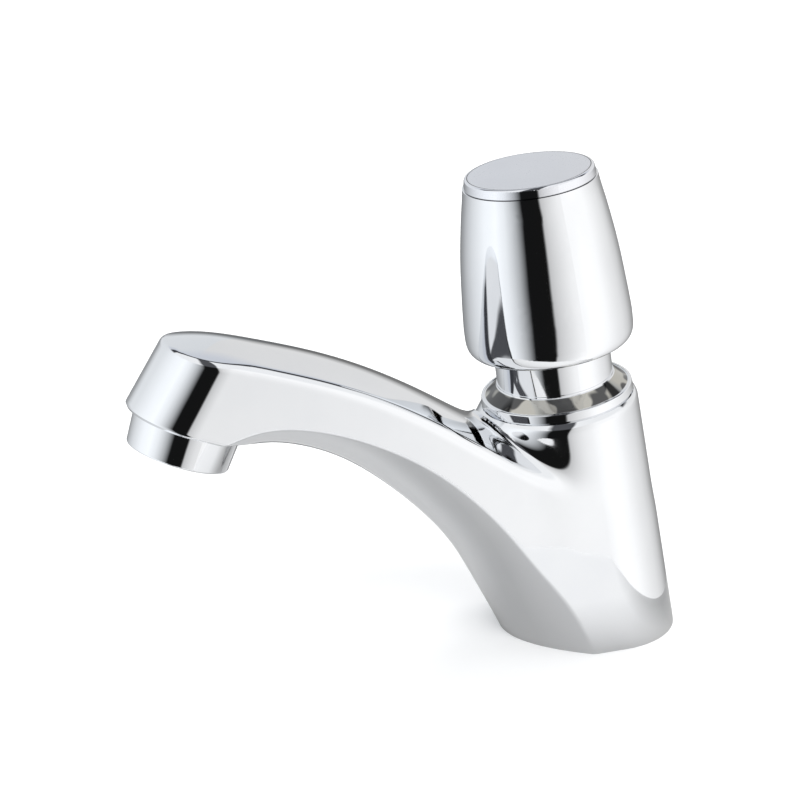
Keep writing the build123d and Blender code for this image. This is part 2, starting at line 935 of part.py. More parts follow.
with BuildPart() as flow_mixer:
    add(
        turned(
            outlet_section,
            [
                (0, mixer_low + mixer_height - mixer_floor),
                (insert_radius - mixer_wall, mixer_low + mixer_height - mixer_floor),
                (insert_radius - mixer_wall, mixer_low),
                (insert_radius, mixer_low),
                (insert_radius, mixer_low + mixer_height),
                (0, mixer_low + mixer_height),
            ],
        ).part
    )
    with BuildSketch(outlet_plane(mixer_low + mixer_height - mixer_floor)):
        with PolarLocations(mixer_jet_circle, mixer_jets):
            Circle(mixer_jet_radius)
    extrude(amount=mixer_floor, mode=Mode.SUBTRACT)
with BuildPart() as aerator_screen:
    add(
        turned(
            outlet_section,
            [
                (0, screen_low + screen_height - screen_wall),
                (insert_radius - 2 * screen_wall, screen_low + screen_height - screen_wall),
                (insert_radius - 2 * screen_wall, screen_low + screen_wall),
                (insert_radius - screen_wall, screen_low),
                (insert_radius, screen_low),
                (insert_radius, screen_low + screen_wall),
                (insert_radius - screen_wall, screen_low + 2 * screen_wall),
                (insert_radius - screen_wall, screen_low + screen_height),
                (0, screen_low + screen_height),
            ],
        ).part
    )
    with BuildSketch(outlet_plane(screen_low + screen_height - screen_wall)):
        with PolarLocations(screen_hole_circle, screen_holes):
            Circle(screen_hole_radius)
    extrude(amount=screen_wall, mode=Mode.SUBTRACT)

# Mounting set: shank, filter, gaskets, washer and back nut
deck_underside = -deck_thickness
clamp_gasket_low = deck_underside - clamp_gasket_thickness
clamp_washer_low = clamp_gasket_low - clamp_washer_thickness
shank_outline = [
    (shank_bore, -shank_length),
    (shank_radius - thread_chamfer, -shank_length),
    (shank_radius, -shank_length + thread_chamfer),
    (shank_radius, -relief_drop - relief_length),
    (relief_radius, -relief_drop - relief_length),
    (relief_radius, -relief_drop),
    (shank_radius, -relief_drop),
    (shank_radius, shank_top),
    (shank_bore, shank_top),
]
inlet_shank = turned(Plane.XZ, shank_outline)
with BuildPart() as inlet_filter:
    add(
        turned(
            Plane.XZ,
            [
                (shank_bore - fit_clearance - filter_wall, -shank_length + thread_chamfer),
                (shank_bore - fit_clearance, -shank_length + thread_chamfer),
                (shank_bore - fit_clearance, -shank_length + filter_length),
                (0, -shank_length + filter_length),
                (0, -shank_length + filter_length - filter_wall),
                (
                    shank_bore - fit_clearance - filter_wall,
                    -shank_length + filter_length - filter_wall,
                ),
            ],
        ).part
    )
    with BuildSketch(Plane.XY.offset(-shank_length + 2 * filter_wall + thread_chamfer)):
        with PolarLocations(shank_bore - filter_wall, filter_slots):
            Rectangle(3 * filter_wall, filter_slot_width)
    extrude(
        amount=filter_length - 4 * filter_wall - thread_chamfer,
        mode=Mode.SUBTRACT,
    )
foot_gasket = ring(
    Plane.XZ,
    gasket_groove_inner + gasket_play,
    gasket_groove_outer - gasket_play,
    0,
    gasket_thickness,
)
clamp_gasket = ring(
    Plane.XZ, shank_radius + washer_bore_play, clamp_gasket_radius, clamp_gasket_low, deck_underside
)
clamp_washer = ring(
    Plane.XZ,
    shank_radius + washer_bore_play,
    clamp_washer_radius,
    clamp_washer_low,
    clamp_gasket_low,
)
with BuildPart() as back_nut:
    with BuildSketch(Plane.XY.offset(clamp_washer_low)):
        RegularPolygon(nut_across_flats / 2, 6, major_radius=False)
        Circle(shank_radius + nut_clearance, mode=Mode.SUBTRACT)
    extrude(amount=-nut_height)

pieces = {
    "body_casting": body_casting,
    "bezel_ring": bezel_ring,
    "guide_sleeve": guide_sleeve,
    "mouth_seal": mouth_seal,
    "spring_plate": spring_plate,
    "cartridge_housing": cartridge_housing,
    "cartridge_seal_lower": cartridge_seal_lower,
    "cartridge_seal_upper": cartridge_seal_upper,
    "valve_seat": valve_seat,
    "spindle_bush": spindle_bush,
    "gland_seal": gland_seal,
    "aerator_housing": aerator_housing,
    "aerator_gasket": aerator_gasket,
    "outlet_grid": outlet_grid,
    "flow_mixer": flow_mixer,
    "aerator_screen": aerator_screen,
    "inlet_shank": inlet_shank,
    "inlet_filter": inlet_filter,
    "foot_gasket": foot_gasket,
    "clamp_gasket": clamp_gasket,
    "clamp_washer": clamp_washer,
    "back_nut": back_nut,
    "return_spring": return_spring,
    "push_cap": push_cap,
    "cap_disc": cap_disc,
    "cap_screw": cap_screw,
    "spindle": spindle,
    "spring_retainer": spring_retainer,
    "timer_piston": timer_piston,
    "piston_cup_seal": piston_cup_seal,
    "piston_clip": piston_clip,
    "valve_disc": valve_disc,
    "valve_washer": valve_washer,
    "washer_nut": washer_nut,
}
for name, piece in pieces.items():
    piece.part.label = name
    export_step(piece.part, "parts/" + name + ".step")
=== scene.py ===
import json
import math

import bmesh
import bpy
import numpy as np
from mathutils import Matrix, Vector


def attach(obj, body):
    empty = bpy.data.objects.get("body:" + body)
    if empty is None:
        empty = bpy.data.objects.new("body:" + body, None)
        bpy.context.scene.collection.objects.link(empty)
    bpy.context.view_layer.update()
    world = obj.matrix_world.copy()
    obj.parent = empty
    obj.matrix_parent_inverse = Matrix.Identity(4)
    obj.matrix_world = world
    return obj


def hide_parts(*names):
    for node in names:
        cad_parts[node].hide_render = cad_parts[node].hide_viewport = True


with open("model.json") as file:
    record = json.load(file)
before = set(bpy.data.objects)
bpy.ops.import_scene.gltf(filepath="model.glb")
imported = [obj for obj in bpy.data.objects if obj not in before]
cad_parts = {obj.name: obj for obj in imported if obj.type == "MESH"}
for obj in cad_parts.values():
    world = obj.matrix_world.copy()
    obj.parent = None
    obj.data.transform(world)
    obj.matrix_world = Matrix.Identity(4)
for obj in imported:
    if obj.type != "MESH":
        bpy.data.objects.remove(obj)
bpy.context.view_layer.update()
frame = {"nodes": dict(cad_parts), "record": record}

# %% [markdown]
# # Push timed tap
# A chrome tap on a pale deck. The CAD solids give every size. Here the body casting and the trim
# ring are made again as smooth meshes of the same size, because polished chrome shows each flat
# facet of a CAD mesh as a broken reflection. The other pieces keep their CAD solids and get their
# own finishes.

scene = bpy.context.scene

# %% [markdown]
# ## Sizes
# The scene is in metres. The shapes are worked out in millimetres, with the sizes of the CAD
# source. The head's axis leans from the vertical towards the spout, and the outlet's axis leans
# back towards the pillar. A point on either axis is its foot plus a distance along its direction.

# %% Axes of the head and the outlet
MM = 0.001
head_lean = math.radians(9.0)
outlet_tilt = math.radians(19.7)
head_foot = np.array([0.0, -0.9, 0.0]) * MM
head_axis = np.array([0.0, -math.sin(head_lean), math.cos(head_lean)])
head_side = np.array([0.0, math.cos(head_lean), math.sin(head_lean)])
outlet_axis = np.array([0.0, math.sin(outlet_tilt), math.cos(outlet_tilt)])

# %% [markdown]
# ## Shader maths
# Long node set-ups are hard to read as links. `Wires` wraps one output socket, so that a shader's
# formula can be written as a sum or product of wires and numbers, in either order.


# %% Shader maths helper
class Wires:
    """One output of a node tree; + - * / on it add Math nodes, `node` adds any other node."""

    def __init__(self, tree, socket):
        self.tree = tree
        self.socket = socket

    def node(self, kind, settings=None, inputs=None, output=0):
        """Add a node of a type, set its settings and inputs, and return one of its outputs."""
        made = self.tree.nodes.new(kind)
        for name, value in (settings or {}).items():
            setattr(made, name, value)
        for name, value in (inputs or {}).items():
            if isinstance(value, Wires):
                self.tree.links.new(value.socket, made.inputs[name])
            else:
                made.inputs[name].default_value = value
        return Wires(self.tree, made.outputs[output])

    def maths(self, operation, other=0.0):
        """This value and another through one Math node."""
        return self.node("ShaderNodeMath", {"operation": operation}, {0: self, 1: other})

    def __add__(self, other):
        return self.maths("ADD", other)

    __radd__ = __add__

    def __mul__(self, other):
        return self.maths("MULTIPLY", other)

    __rmul__ = __mul__

    def __sub__(self, other):
        return self.maths("SUBTRACT", other)

    def __rsub__(self, other):
        return (self * -1.0) + other

    def __truediv__(self, other):
        return self.maths("DIVIDE", other)


def new_material(name):
    """A node material with only its Principled shader; returns it, the shader and a first wire."""
    made = bpy.data.materials.new(name)
    made.use_nodes = True
    tree = made.node_tree
    shader = tree.nodes["Principled BSDF"]
    coordinates = tree.nodes.new("ShaderNodeTexCoord")
    return made, shader, Wires(tree, coordinates.outputs["Object"])


def along(wire, axis):
    """Part of a vector along an axis."""
    return wire.node("ShaderNodeVectorMath", {"operation": "DOT_PRODUCT"}, {0: wire, 1: axis}, 1)


def head_place(at):
    """Distance from the head's axis and height along it, in millimetres."""
    foot = head_foot / MM
    up = along(at, tuple(head_axis / MM)) - float(foot @ head_axis)
    side = along(at, tuple(head_side / MM)) - float(foot @ head_side)
    across = along(at, (1 / MM, 0.0, 0.0))
    return (across * across + side * side).maths("SQRT"), up


def noise(wire, scale, detail, roughness):
    """Fractal noise in object coordinates; its features are about one over the scale across."""
    return wire.node(
        "ShaderNodeTexNoise",
        {},
        {"Vector": wire, "Scale": scale, "Detail": detail, "Roughness": roughness},
    )


def ramp(wire, low, high, out_low, out_high):
    """Map a value from low..high to out_low..out_high, held flat outside."""
    return wire.node(
        "ShaderNodeMapRange",
        {"clamp": True},
        {"Value": wire, "From Min": low, "From Max": high, "To Min": out_low, "To Max": out_high},
    )


def mix_colour(wire, factor, first, second):
    """Blend two colours by a factor."""
    made = wire.tree.nodes.new("ShaderNodeMix")
    made.data_type = "RGBA"
    for index, value in ((0, factor), (6, first), (7, second)):
        if isinstance(value, Wires):
            wire.tree.links.new(value.socket, made.inputs[index])
        else:
            made.inputs[index].default_value = value
    return Wires(wire.tree, made.outputs[2])


def bump(wire, height, distance):
    """Normal from a height field; distance is the height in metres of a value of one."""
    inputs = {"Height": height, "Distance": distance, "Strength": 1.0}
    return wire.node("ShaderNodeBump", {}, inputs)


def connect(wire, shader, name):
    """Link a wire to one of the shader's inputs."""
    wire.tree.links.new(wire.socket, shader.inputs[name])


# %% [markdown]
# ## Finishes
# Chrome is a mirror, but a plated casting isn't a perfect one. It is slightly wavy over a few
# millimetres from polishing, and faint dried water and finger marks make it a little rougher in
# soft patches. Both stay subtle, so that the dark and light bands of the studio stay crisp.
#
# Three places carry painted light and shade in their colour. The trim ring's collar has soft dark
# and beige patches, a painted reflection, which stand for a reflection in the photograph that this
# studio doesn't give by itself. The inside of the cap is duller, and its dark brown is painted
# shade for the cap's hollow. The satin disc has a dark outline and, under it, a seam of painted
# shade for the gap below the lid.

# %% Chrome and satin chrome
chrome_tint, chrome_dull = (0.86, 0.87, 0.885, 1.0), (0.96, 0.962, 0.97)
chrome_rough, chrome_wave = 0.035, 0.00002
# Colours of the collar's painted reflection: dark and beige patches
painted_reflection_dark, painted_reflection_beige = (0.10, 0.10, 0.10, 1.0), (0.52, 0.505, 0.46, 1.0)
# Painted shade inside the cap: a dark brown colour, with a rougher finish
inside_shade_colour, inside_rough = (0.20, 0.17, 0.12, 1.0), 0.35
satin_low, satin_high = (0.80, 0.81, 0.85, 1.0), (0.86, 0.87, 0.90, 1.0)
# Colour of the satin disc's dark outline and of the painted shade in the seam under it
outline_and_seam_shade, rim_rough = (0.05, 0.05, 0.055, 1.0), 0.04

# Where the painted reflection, the painted shade, the dark lines and the polished rim lie, in
# millimetres: out from the head's axis and up along it
reflection_inner, reflection_outer, reflection_fade = 14.75, 17.85, 0.15
wall_radius, wall_taper, wall_foot = 20.45, 0.1103, 79.0
seam_inner, polished_from, seam_outer, seam_fade = 14.8, 15.0, 15.1, 0.08
disc_foot, disc_foot_fade = 119.0, 0.15


def chrome(name, shade=""):
    """Polished plating: tinted mirror, patchy roughness, a polishing wave and painted light by
    place.
    """
    made, shader, at = new_material(name)
    patches = noise(at, 38.0, 4.0, 0.6)
    specks = noise(at, 900.0, 2.0, 0.5)
    soft = ramp(patches, 0.42, 0.72, chrome_rough, chrome_rough + 0.03)
    soft = soft + ramp(specks, 0.62, 0.8, 0.0, 0.012)
    dull = tuple(tint * share for tint, share in zip(chrome_tint, chrome_dull)) + (1.0,)
    colour = mix_colour(at, ramp(patches, 0.4, 0.75, 0.0, 1.0), chrome_tint, dull)
    out, up = head_place(at)
    # The collar's dark and beige patches are a painted reflection in its colour
    if shade == "collar":
        reflection_blotch = ramp(noise(at, 150.0, 1.0, 0.5), 0.44, 0.50, 0.0, 1.0)
        painted_reflection = mix_colour(at, reflection_blotch, painted_reflection_dark, painted_reflection_beige)
        outer = ramp(out, reflection_outer - reflection_fade, reflection_outer, 1.0, 0.0)
        collar = outer * ramp(out, reflection_inner, reflection_inner + reflection_fade, 0.0, 1.0)
        colour = mix_colour(at, collar, colour, painted_reflection)
    # Inside the cap, painted shade: a dark brown colour and a rougher, duller finish
    if shade == "inside":
        wall = wall_radius - wall_taper * (up - wall_foot)
        above = ramp(up, wall_foot, wall_foot + 0.2, 0.0, 1.0)
        inside = ramp(wall - out, 0.0, 0.05, 0.0, 1.0) * above
        colour = mix_colour(at, inside, colour, inside_shade_colour)
        soft = soft + inside * inside_rough
    connect(soft, shader, "Roughness")
    connect(colour, shader, "Base Color")
    connect(bump(at, noise(at, 120.0, 1.0, 0.4), chrome_wave), shader, "Normal")
    shader.inputs["Metallic"].default_value = 1.0
    return made


def satin(name):
    """Satin plating: fine even grain over a soft mirror, polished rim, dark outline, painted seam
    shade.
    """
    made, shader, at = new_material(name)
    grain = noise(at, 2600.0, 3.0, 0.7)
    cloud = noise(at, 60.0, 3.0, 0.5)
    out, up = head_place(at)
    polished = ramp(out, polished_from, seam_outer, 0.0, 1.0)
    soft = ramp(grain, 0.3, 0.7, 0.26, 0.36) + ramp(cloud, 0.4, 0.7, 0.0, 0.04)
    connect(soft * (1.0 - polished) + rim_rough * polished, shader, "Roughness")
    grained = mix_colour(at, ramp(grain, 0.3, 0.7, 0.0, 1.0), satin_low, satin_high)
    # A dark outline round the satin face, and below the disc's foot painted shade for the gap under
    # the lid
    outline = ramp(out, seam_inner, seam_inner + seam_fade, 0.0, 1.0)
    outline = outline * ramp(out, seam_outer - seam_fade, seam_outer, 1.0, 0.0)
    seam = outline.maths("MAXIMUM", ramp(up, disc_foot, disc_foot + disc_foot_fade, 1.0, 0.0))
    connect(mix_colour(at, seam, grained, outline_and_seam_shade), shader, "Base Color")
    connect(bump(at, grain * (1.0 - polished), 0.000012), shader, "Normal")
    shader.inputs["Metallic"].default_value = 1.0
    return made


chrome_plate = chrome("chrome_plate")
# The cap's chrome has painted shade inside it
cap_chrome = chrome("cap_chrome", shade="inside")
satin_chrome = satin("satin_chrome")
print("chrome and satin finishes")

# %% [markdown]
# The hidden pieces are brass, stainless steel, black rubber and moulded plastic. Brass and steel
# show a fine cut grain and a faint tarnish, rubber a dull grain, and plastic a slight mottle with
# soft gloss.


# %% Brass, steel, rubber and plastic
def metal(name, light, dark, rough, grain_scale, grain_height):
    """Machined metal: mottled colour, grainy roughness and a fine cut texture."""
    made, shader, at = new_material(name)
    cut = noise(at, grain_scale, 4.0, 0.65)
    tarnish = noise(at, 70.0, 3.0, 0.5)
    connect(mix_colour(at, ramp(tarnish, 0.35, 0.7, 0.0, 1.0), light, dark), shader, "Base Color")
    connect(ramp(cut, 0.3, 0.7, rough, rough + 0.16), shader, "Roughness")
    connect(bump(at, cut, grain_height), shader, "Normal")
    shader.inputs["Metallic"].default_value = 1.0
    return made


def soft_solid(name, light, dark, rough, grain_scale, grain_height, coat):
    """Rubber or moulded plastic: near-even colour with a grain that breaks up its sheen."""
    made, shader, at = new_material(name)
    grain = noise(at, grain_scale, 4.0, 0.6)
    cloud = noise(at, 90.0, 2.0, 0.5)
    connect(mix_colour(at, ramp(cloud, 0.35, 0.7, 0.0, 1.0), light, dark), shader, "Base Color")
    connect(ramp(grain, 0.3, 0.7, rough, rough + 0.14), shader, "Roughness")
    connect(bump(at, grain, grain_height), shader, "Normal")
    shader.inputs["Metallic"].default_value = 0.0
    shader.inputs["Coat Weight"].default_value = coat
    return made


# Name, light and dark colour, roughness, scale and height in metres of the grain, and for the soft
# solids the coat's weight
metals = [
    ("brass", (0.80, 0.62, 0.32, 1), (0.66, 0.48, 0.23, 1), 0.2, 1500.0, 0.00001),
    ("stainless", (0.66, 0.66, 0.67, 1), (0.56, 0.56, 0.57, 1), 0.22, 1800.0, 0.000008),
]
soft_solids = [
    ("seal_rubber", (0.02, 0.02, 0.021, 1), (0.035, 0.035, 0.036, 1), 0.55, 1400.0, 0.00002, 0.0),
    ("white_plastic", (0.80, 0.80, 0.78, 1), (0.74, 0.74, 0.71, 1), 0.32, 1100.0, 0.00001, 0.1),
    ("grey_plastic", (0.30, 0.31, 0.33, 1), (0.24, 0.25, 0.27, 1), 0.38, 1100.0, 0.00001, 0.05),
]
finishes = {
    "chrome_plate": chrome_plate,
    # The trim ring's finish, with the collar's painted reflection in its colour
    "shaded_chrome": chrome("shaded_chrome", shade="collar"),
    "satin_chrome": satin_chrome,
}
finishes.update({row[0]: metal(*row) for row in metals})
finishes.update({row[0]: soft_solid(*row) for row in soft_solids})
slots = {row["node"]: row["material_slot"] for row in frame["record"]["subparts"]}
for node, part in frame["nodes"].items():
    part.data.materials.clear()
    finish = cap_chrome if node == "push_cap" else finishes[slots[node]]
    part.data.materials.append(finish)
print("finishes on", len(slots), "nodes")

# %% [markdown]
# ## Body casting
# The foot, the leaning pillar, the goose-neck spout and the lip round the outlet are one smooth
# casting. It is written as a field: a number that is positive inside the metal and zero on its
# surface, in millimetres. Four simple fields are joined: the straight flanks round the pillar and
# the nose, the crowned top, the crowned underside and the pillar itself. The lip round the outlet
# and the mouth under the head cut it off. Edges are rounded by a rolling ball, and the saddle and
# the shoulder, where spout and head meet the pillar, are blended over a few millimetres.

# %% Sizes of the body in millimetres
foot_radius, shoulder_radius, mouth_radius = 21.9, 20.4, 19.1
shoulder_height, shoulder_step = 61.6, 1.2
reach_out, outlet_height, spout_top_height = 109.0, 59.6, 87.6
nose_lean = math.radians(32.0)
lip_rise, lip_front, lip_radius, lip_cut_reach = 8.0, 15.3, 15.5, 20.0
edge_round, crease_round, lip_round = 3.5, 1.2, 0.8
saddle_round, flank_round, shoulder_round = 8.0, 1.2, 1.4
underside_half_width, topside_half_width = 26.0, 30.0
nose_start, nose_length, mouth_play = 95.0, 15.0, 0.25

# Cosines between the outward normals at rounded edges, and by how much the top's rises at the nose
top_cosine, nose_gain, crease_cosine, lip_cosine = 0.36, 0.2, 0.68, -0.1

# Stations of the underside and the top: how far out as a share of the reach, how high as a share of
# the outlet's or the top's height, lean in degrees, crown as a share of the half width
underside_shares = [
    (1.183, 0.82, 0, 0.69),
    (1.03, 0.936, 0, 0.71),
    (0.922, 0.997, 0, 0.73),
    (0.852, 1.023, 0, 0.73),
    (0.742, 0.995, 11, 0.70),
    (0.632, 0.906, 20, 0.70),
    (0.522, 0.759, 28, 0.755),
    (0.430, 0.601, 33, 0.74),
    (0.354, 0.433, 40, 0.71),
    (0.288, 0.226, 52, 0.76),
    (0.222, 0.0, 90, 0.84),
    (0.178, -0.167, 90, 0.84),
]
topside_shares = [
    (1.247, 0.972, 0, 0.305),
    (1.017, 0.996, 0, 0.305),
    (0.907, 0.989, 6, 0.305),
    (0.797, 0.956, 14, 0.316),
    (0.678, 0.910, 20, 0.328),
    (0.559, 0.851, 25, 0.34),
    (0.430, 0.767, 28, 0.352),
    (0.311, 0.678, 29, 0.363),
    (0.173, 0.581, 30, 0.375),
    (0.036, 0.481, 30, 0.375),
]

foot_mm = head_foot / MM
shoulder_rise = shoulder_height * math.cos(head_lean)
shoulder_shift = -foot_mm[1] + shoulder_height * math.sin(head_lean)
draft = (foot_radius - shoulder_radius) / shoulder_rise
outlet_forward = np.array([0.0, -math.cos(outlet_tilt), math.sin(outlet_tilt)])
lip_mm = np.array([0.0, -reach_out, outlet_height]) + outlet_axis * lip_rise
lip_front_mm = lip_mm + outlet_forward * lip_front
mouth_mm = foot_mm + head_axis * (shoulder_height + shoulder_step)

# %% [markdown]
# The underside and the top are each given by a few stations along the spout. A smooth curve through
# the stations gives place, lean and crown at many even steps between them.


# %% Stations drawn smooth
def natural_spline(knots, values, places):
    """Cubic through the values, straight at both ends.

    At each inner knot three times the change of slope is the step before times the half bend
    before, plus twice both steps times the half bend here, plus the step after times the one after.
    """
    steps = np.diff(knots)
    count = len(knots)
    inner = np.arange(1, count - 1)
    system = np.eye(count)
    system[inner, inner - 1] = steps[:-1]
    system[inner, inner] = 2 * (steps[:-1] + steps[1:])
    system[inner, inner + 1] = steps[1:]
    bend = np.zeros(values.shape)
    slopes = np.diff(values, axis=0) / steps[:, None]
    bend[1:-1] = 3 * np.diff(slopes, axis=0)
    half = np.linalg.solve(system, bend)
    span = np.clip(np.searchsorted(knots, places) - 1, 0, count - 2)
    past = (places - knots[span])[:, None]
    step = steps[span][:, None]
    first = slopes[span] - step * (2 * half[span] + half[span + 1]) / 3
    third = (half[span + 1] - half[span]) / (3 * step)
    return values[span] + first * past + half[span] * past**2 + third * past**3


def station_line(shares, tall, count=600):
    """Centre line (y, z), lean and crown at even steps along a row of stations."""
    rows = np.array(shares)
    line = np.stack(
        [-rows[:, 0] * reach_out, rows[:, 1] * tall, np.radians(rows[:, 2]), rows[:, 3]], axis=1
    )
    run = np.concatenate([[0.0], np.cumsum(np.hypot(*np.diff(line[:, :2], axis=0).T))])
    return natural_spline(run, line, np.linspace(0, run[-1], count))


underside_line = station_line(underside_shares, outlet_height)
topside_line = station_line(topside_shares, spout_top_height)
print("underside line", len(underside_line), "top line", len(topside_line))

# %% [markdown]
# The height over a crowned sheet is measured in the plane of the station that passes the point. The
# station is found by halving its interval, for every point at once. A section's height is the
# crown's share times the distance from the middle squared over the half width.


# %% Fields of the body
def over_sheet(line, half_width, x, y, z):
    """Height over a sheet's centre line, the crown's height there, and the crown's slope length.

    The crown's height is its share times the distance from the middle squared over the half width.
    The slope length is the root of one plus the crown's slope squared.
    """
    steps = np.arange(len(line), dtype=float)
    centre_y, centre_z, lean, crown = line.T
    ahead_y, ahead_z = -np.cos(lean), np.sin(lean)
    offset = centre_y * ahead_y + centre_z * ahead_z

    def ahead(place):
        return (
            y * np.interp(place, steps, ahead_y)
            + z * np.interp(place, steps, ahead_z)
            - np.interp(place, steps, offset)
        )

    low, high = np.zeros(y.shape), np.full(y.shape, len(line) - 1.0)
    for _ in range(14):
        middle = (low + high) / 2
        past = ahead(middle) > 0
        high, low = np.where(past, middle, high), np.where(past, low, middle)
    before, after = ahead(low), ahead(high)
    spread = np.where(np.abs(before - after) > 1e-12, before - after, 1.0)
    place = low + (high - low) * np.clip(before / spread, 0, 1)
    tilt = np.interp(place, steps, lean)
    bow = np.interp(place, steps, crown) / half_width
    height = (y - np.interp(place, steps, centre_y)) * np.sin(tilt)
    height = height + (z - np.interp(place, steps, centre_z)) * np.cos(tilt)
    return height, bow * x * x, np.sqrt(1 + (2 * bow * x) ** 2)


def pillar_circle(z):
    """How far out the pillar's centre is at a height, and its radius there."""
    share = z / shoulder_rise
    return -shoulder_shift * share, foot_radius - (foot_radius - shoulder_radius) * share


def in_flanks(x, y, z):
    """Depth inside the pillar's and the nose's circles with straight flanks between them."""
    pillar_y, pillar_r = pillar_circle(z)
    nose_r = lip_radius - draft * (z - lip_mm[2])
    nose_y = lip_front_mm[1] + math.tan(nose_lean) * (z - lip_front_mm[2]) + nose_r
    side, ahead, length = np.abs(x), pillar_y - y, pillar_y - nose_y
    taper = (pillar_r - nose_r) / length
    flat = np.sqrt(1 - taper**2)
    station = flat * ahead - taper * side
    outside = np.where(
        station < 0,
        np.hypot(side, ahead) - pillar_r,
        np.where(
            station > flat * length,
            np.hypot(side, ahead - length) - nose_r,
            flat * side + taper * ahead - pillar_r,
        ),
    )
    return -outside


def ball_corner(first, second, radius, closeness):
    """Rounded lesser of two depths; closeness is the cosine between the two outward normals."""
    a, b = radius - first, radius - second
    span = np.sqrt(np.maximum((a * a + b * b - 2 * closeness * a * b) / (1 - closeness**2), 0))
    rolls = (a - closeness * b > 0) & (b - closeness * a > 0)
    return np.where(rolls, radius - span, np.minimum(first, second))


def soft_lesser(first, second, width):
    """Lesser of two depths, less a sixth of the width times the cube of their nearness.

    The nearness is one where they are equal and zero where they differ by the width or more.
    """
    near = np.maximum(1 - np.abs(first - second) / width, 0)
    return np.minimum(first, second) - width / 6 * near**3


def body_field(x, y, z):
    """Depth inside the casting, from its flanks, top, pillar, underside, lip and mouth."""
    flanks = in_flanks(x, y, z)
    pillar_y, pillar_r = pillar_circle(z)
    pillar = pillar_r - np.hypot(x, y - pillar_y)
    height, bow, slope = over_sheet(topside_line, topside_half_width, x, y, z)
    toward_nose = np.clip((-nose_start - y) / nose_length, 0, 1)
    edge = edge_round * (1 - 0.5 * toward_nose)
    closeness = top_cosine + nose_gain * toward_nose
    spout = ball_corner(flanks, (-height - bow) / slope, edge, closeness)
    depth = soft_lesser(flanks, -soft_lesser(-spout, -pillar, saddle_round), flank_round)
    height, bow, slope = over_sheet(underside_line, underside_half_width, x, y, z)
    depth = ball_corner(depth, (height - bow) / slope, crease_round, crease_cosine)
    over_lip = (y - lip_mm[1]) * outlet_axis[1] + (z - lip_mm[2]) * outlet_axis[2]
    behind = (y - lip_mm[1]) * -outlet_forward[1] + (z - lip_mm[2]) * -outlet_forward[2]
    at_lip = ball_corner(depth, over_lip, lip_round, lip_cosine)
    depth = np.where(behind < lip_cut_reach, at_lip, depth)
    up = (y - foot_mm[1]) * head_axis[1] + (z - foot_mm[2]) * head_axis[2]
    out = np.hypot(x, (y - foot_mm[1]) * head_side[1] + (z - foot_mm[2]) * head_side[2])
    fall = shoulder_step / (shoulder_radius - mouth_radius)
    chamfer = shoulder_height + shoulder_step - (out - mouth_radius) * fall - up
    chamfer = chamfer / math.hypot(1, fall)
    mouth = np.maximum(chamfer, out - shoulder_radius - mouth_play)
    return soft_lesser(depth, mouth, shoulder_round)


# %% [markdown]
# The surface is walked by a fan of planes. Each plane holds the sideways axis and a line from the
# underside to the back, the mouth, the top or the nose. The first plane is the deck and the last is
# the lip round the outlet. In each plane, rays leave a point inside the metal, and the first change
# of the field's sign along a ray is halved down to the surface.


# %% Fan of planes
fan_counts, fan_columns = (48, 60, 120, 60), 120
# Shares of the reach at which the fan's groups of planes meet the underside
underside_marks, lip_mark = (0.222, 0.34, 0.422, 0.761), 0.82
# Places along y at which they meet the top, and the share of the way from lip to top at the nose
topside_start, topside_turn, topside_end, topside_crown = -31.0, -86.0, -109.0, -110.0
nose_share = 0.85


def evenly(points, count):
    """Points at equal steps along a polyline."""
    line = np.array(points, dtype=float)
    run = np.concatenate([[0.0], np.cumsum(np.hypot(*np.diff(line, axis=0).T))])
    places = np.linspace(0, run[-1], count)
    return np.stack([np.interp(places, run, line[:, i]) for i in (0, 1)], axis=1)


def stretch(line, start, end, count=60):
    """Part of a centre line between two places along y."""
    order = np.argsort(line[:, 0])
    y = np.linspace(start, end, count)
    return np.stack([y, np.interp(y, line[order, 0], line[order, 1])], axis=1)


def join(parts):
    """Rows of the parts in one, without the first row of each part that only repeats the last."""
    return np.concatenate([parts[0]] + [part[1:] for part in parts[1:]])


def fan_lines(to_back, over_mouth, over_top, round_nose):
    """Inner and outer ends (y, z) of each plane's line, and the half chord of the mouth in it."""
    over_lip = (underside_line[:, :2] - lip_mm[1:]) @ outlet_axis[1:]
    rising = np.flatnonzero((over_lip[:-1] < 0) & (over_lip[1:] >= 0))
    near = rising[np.argmin(np.abs(underside_line[rising, 0] + lip_mark * reach_out))]
    share = over_lip[near] / (over_lip[near] - over_lip[near + 1])
    before, after = underside_line[near, 0], underside_line[near + 1, 0]
    marks = [-mark * reach_out for mark in underside_marks] + [before + share * (after - before)]
    counts = (to_back, over_mouth, over_top, round_nose)
    inner = [
        evenly(stretch(underside_line, start, end), count)
        for start, end, count in zip(marks[:-1], marks[1:], counts)
    ]
    turn = np.linspace(math.pi, 0, over_mouth)
    chord = -mouth_radius * np.cos(turn)[:, None]
    mouth_line = mouth_mm[None, 1:] + chord * head_side[None, 1:]
    crown_point = stretch(topside_line, topside_crown, topside_crown, 1)[0]
    front = lip_front_mm[1:]
    along_top = [mouth_line[-1:], stretch(topside_line, topside_start, topside_turn)]
    down_nose = [
        stretch(topside_line, topside_turn, topside_end),
        front + nose_share * (crown_point - front),
        front,
    ]
    outer = [
        evenly([(foot_radius, 0), mouth_line[0]], to_back),
        mouth_line,
        evenly(np.vstack(along_top), over_top),
        evenly(np.vstack(down_nose), round_nose),
    ]
    half = [np.zeros(count) for count in counts]
    half[1] = mouth_radius * np.sin(turn)
    return join(inner), join(outer), join(half)


